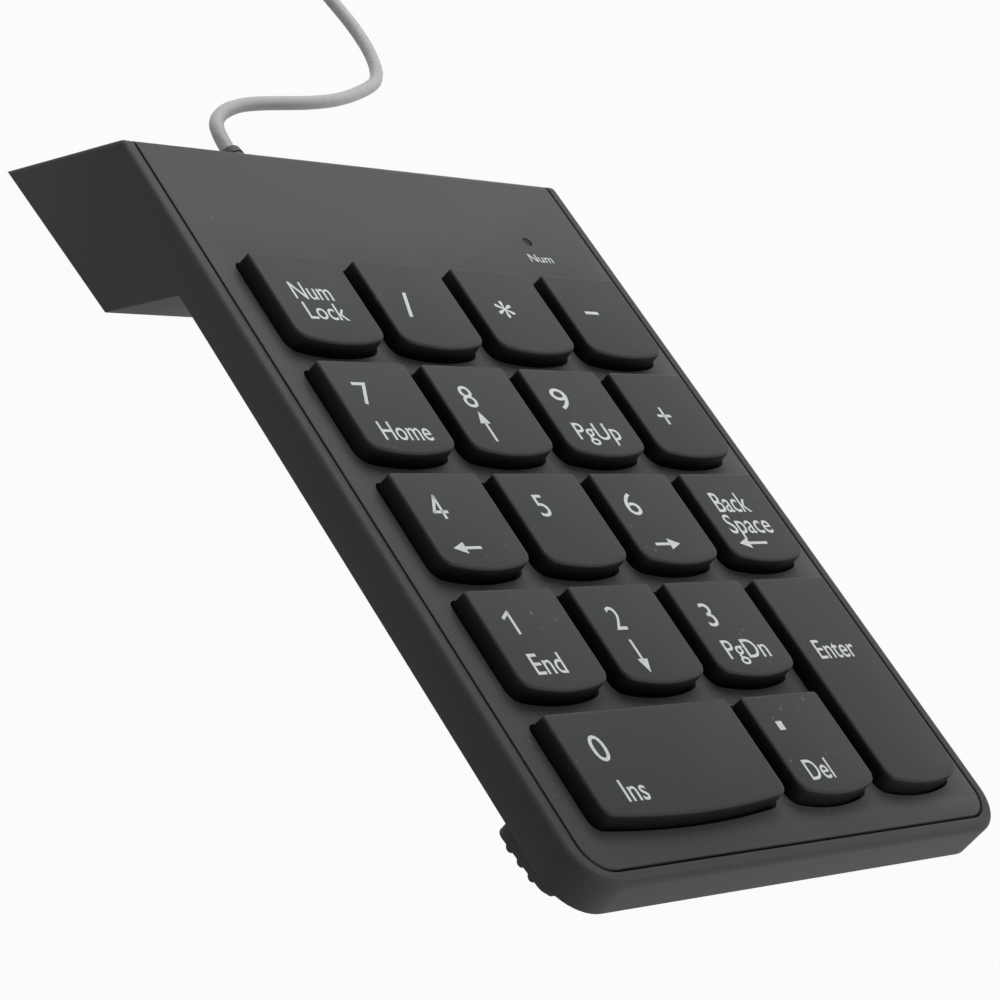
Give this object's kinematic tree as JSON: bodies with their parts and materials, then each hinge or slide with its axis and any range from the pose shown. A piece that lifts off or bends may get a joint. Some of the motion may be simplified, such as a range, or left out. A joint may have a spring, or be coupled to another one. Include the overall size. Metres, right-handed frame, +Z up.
{
  "type": "numeric keypad",
  "caption": "Thin wedge-shaped wired numeric keypad with low plunger keys over a rubber-dome membrane, raised rear block, rubber feet and a coiled USB lead.",
  "frame": {"origin": "on the table, under the middle of the keypad's own box without its lead", "axes": "+X to the user's right, +Y to the rear, away from the user, +Z up from the table"},
  "size_m": [0.1064, 0.2417, 0.0194],
  "materials": {
    "case_plastic": "fine moulded texture, charcoal",
    "cover_plastic": "fine moulded texture, charcoal grey",
    "key_plastic": "smooth satin, charcoal, white printed legends",
    "guide_plastic": "moulded, black",
    "silicone": "translucent white silicone",
    "membrane_film": "clear polyester film with printed tracks",
    "backing_steel": "zinc-plated sheet",
    "circuit_board": "green solder mask",
    "chip_resin": "black moulded resin",
    "led_lens": "clear diffused lens",
    "light_guide_plastic": "clear acrylic",
    "clamp_plastic": "moulded, black",
    "screw_steel": "zinc-plated",
    "foot_rubber": "soft black rubber",
    "cable_jacket": "smooth soft vinyl, pale grey",
    "tie_plastic": "black soft tie",
    "plug_rubber": "moulded, black satin",
    "plug_steel": "nickel-plated sheet",
    "plug_insulator_plastic": "white moulded",
    "contact_gold": "gold flash",
    "wire_steel": "spring wire, bright"
  },
  "bodies": {
    "case": {"bottom_case": "case_plastic", "top_cover": "cover_plastic", "key_guide_frame": "guide_plastic", "dome_sheet": "silicone", "membrane_top_film": "membrane_film", "membrane_spacer": "membrane_film", "membrane_bottom_film": "membrane_film", "backing_plate": "backing_steel", "controller_board": "circuit_board", "controller_chip": "chip_resin", "status_led": "led_lens", "light_guide": "light_guide_plastic", "membrane_clamp_bar": "clamp_plastic", "board_screws": "screw_steel", "case_screws": "screw_steel", "front_foot_left": "foot_rubber", "front_foot_right": "foot_rubber", "rear_foot_left": "foot_rubber", "rear_foot_right": "foot_rubber", "cable_strain_relief": "plug_rubber", "internal_lead": "cable_jacket", "cord": "cable_jacket", "cord_coil": "cable_jacket", "cord_tie": "tie_plastic", "cord_tail": "cable_jacket", "plug_strain_relief": "plug_rubber", "plug_grip": "plug_rubber", "plug_shell": "plug_steel", "plug_insulator": "plug_insulator_plastic", "plug_contacts": "contact_gold"},
    "key_num_lock_cap": {"key_num_lock": "key_plastic"},
    "key_divide_cap": {"key_divide": "key_plastic"},
    "key_multiply_cap": {"key_multiply": "key_plastic"},
    "key_subtract_cap": {"key_subtract": "key_plastic"},
    "key_7_cap": {"key_7": "key_plastic"},
    "key_8_cap": {"key_8": "key_plastic"},
    "key_9_cap": {"key_9": "key_plastic"},
    "key_add_cap": {"key_add": "key_plastic"},
    "key_4_cap": {"key_4": "key_plastic"},
    "key_5_cap": {"key_5": "key_plastic"},
    "key_6_cap": {"key_6": "key_plastic"},
    "key_backspace_cap": {"key_backspace": "key_plastic"},
    "key_1_cap": {"key_1": "key_plastic"},
    "key_2_cap": {"key_2": "key_plastic"},
    "key_3_cap": {"key_3": "key_plastic"},
    "key_decimal_cap": {"key_decimal": "key_plastic"},
    "key_0_cap": {"key_0": "key_plastic"},
    "key_enter_cap": {"key_enter": "key_plastic"},
    "zero_wire": {"zero_stabilizer_wire": "wire_steel"},
    "enter_wire": {"enter_stabilizer_wire": "wire_steel"}
  },
  "joints": [
    {"name": "press_num_lock", "type": "slide", "parent": "case", "child": "key_num_lock_cap", "axis": [0, 0.0958, -0.9954], "range_m": [0, 0.0019], "stiffness_N_per_m": 300, "deforming": ["dome_sheet"]},
    {"name": "press_divide", "type": "slide", "parent": "case", "child": "key_divide_cap", "axis": [0, 0.0958, -0.9954], "range_m": [0, 0.0019], "stiffness_N_per_m": 300, "deforming": ["dome_sheet"]},
    {"name": "press_multiply", "type": "slide", "parent": "case", "child": "key_multiply_cap", "axis": [0, 0.0958, -0.9954], "range_m": [0, 0.0019], "stiffness_N_per_m": 300, "deforming": ["dome_sheet"]},
    {"name": "press_subtract", "type": "slide", "parent": "case", "child": "key_subtract_cap", "axis": [0, 0.0958, -0.9954], "range_m": [0, 0.0019], "stiffness_N_per_m": 300, "deforming": ["dome_sheet"]},
    {"name": "press_7", "type": "slide", "parent": "case", "child": "key_7_cap", "axis": [0, 0.0958, -0.9954], "range_m": [0, 0.0019], "stiffness_N_per_m": 300, "deforming": ["dome_sheet"]},
    {"name": "press_8", "type": "slide", "parent": "case", "child": "key_8_cap", "axis": [0, 0.0958, -0.9954], "range_m": [0, 0.0019], "stiffness_N_per_m": 300, "deforming": ["dome_sheet"]},
    {"name": "press_9", "type": "slide", "parent": "case", "child": "key_9_cap", "axis": [0, 0.0958, -0.9954], "range_m": [0, 0.0019], "stiffness_N_per_m": 300, "deforming": ["dome_sheet"]},
    {"name": "press_add", "type": "slide", "parent": "case", "child": "key_add_cap", "axis": [0, 0.0958, -0.9954], "range_m": [0, 0.0019], "stiffness_N_per_m": 300, "deforming": ["dome_sheet"]},
    {"name": "press_4", "type": "slide", "parent": "case", "child": "key_4_cap", "axis": [0, 0.0958, -0.9954], "range_m": [0, 0.0019], "stiffness_N_per_m": 300, "deforming": ["dome_sheet"]},
    {"name": "press_5", "type": "slide", "parent": "case", "child": "key_5_cap", "axis": [0, 0.0958, -0.9954], "range_m": [0, 0.0019], "stiffness_N_per_m": 300, "deforming": ["dome_sheet"]},
    {"name": "press_6", "type": "slide", "parent": "case", "child": "key_6_cap", "axis": [0, 0.0958, -0.9954], "range_m": [0, 0.0019], "stiffness_N_per_m": 300, "deforming": ["dome_sheet"]},
    {"name": "press_backspace", "type": "slide", "parent": "case", "child": "key_backspace_cap", "axis": [0, 0.0958, -0.9954], "range_m": [0, 0.0019], "stiffness_N_per_m": 300, "deforming": ["dome_sheet"]},
    {"name": "press_1", "type": "slide", "parent": "case", "child": "key_1_cap", "axis": [0, 0.0958, -0.9954], "range_m": [0, 0.0019], "stiffness_N_per_m": 300, "deforming": ["dome_sheet"]},
    {"name": "press_2", "type": "slide", "parent": "case", "child": "key_2_cap", "axis": [0, 0.0958, -0.9954], "range_m": [0, 0.0019], "stiffness_N_per_m": 300, "deforming": ["dome_sheet"]},
    {"name": "press_3", "type": "slide", "parent": "case", "child": "key_3_cap", "axis": [0, 0.0958, -0.9954], "range_m": [0, 0.0019], "stiffness_N_per_m": 300, "deforming": ["dome_sheet"]},
    {"name": "press_decimal", "type": "slide", "parent": "case", "child": "key_decimal_cap", "axis": [0, 0.0958, -0.9954], "range_m": [0, 0.0019], "stiffness_N_per_m": 300, "deforming": ["dome_sheet"]},
    {"name": "press_0", "type": "slide", "parent": "case", "child": "key_0_cap", "axis": [0, 0.0958, -0.9954], "range_m": [0, 0.0019], "stiffness_N_per_m": 300, "deforming": ["dome_sheet"]},
    {"name": "press_enter", "type": "slide", "parent": "case", "child": "key_enter_cap", "axis": [0, 0.0958, -0.9954], "range_m": [0, 0.0019], "stiffness_N_per_m": 300, "deforming": ["dome_sheet"]},
    {"name": "zero_wire_tilt", "type": "hinge", "parent": "case", "child": "zero_wire", "pos_m": [-0.019, -0.04727, 0.00759], "axis": [1, 0, 0], "range_deg": [0, 27]},
    {"name": "enter_wire_tilt", "type": "hinge", "parent": "case", "child": "enter_wire", "pos_m": [0.0225, -0.04379, 0.00793], "axis": [0, 0.9954, 0.0958], "range_deg": [0, 27]}
  ],
  "couplings": [
    {"joint": "zero_wire_tilt", "follows": "press_0", "rad_per_m": 245.45},
    {"joint": "enter_wire_tilt", "follows": "press_enter", "rad_per_m": 245.45}
  ]
}
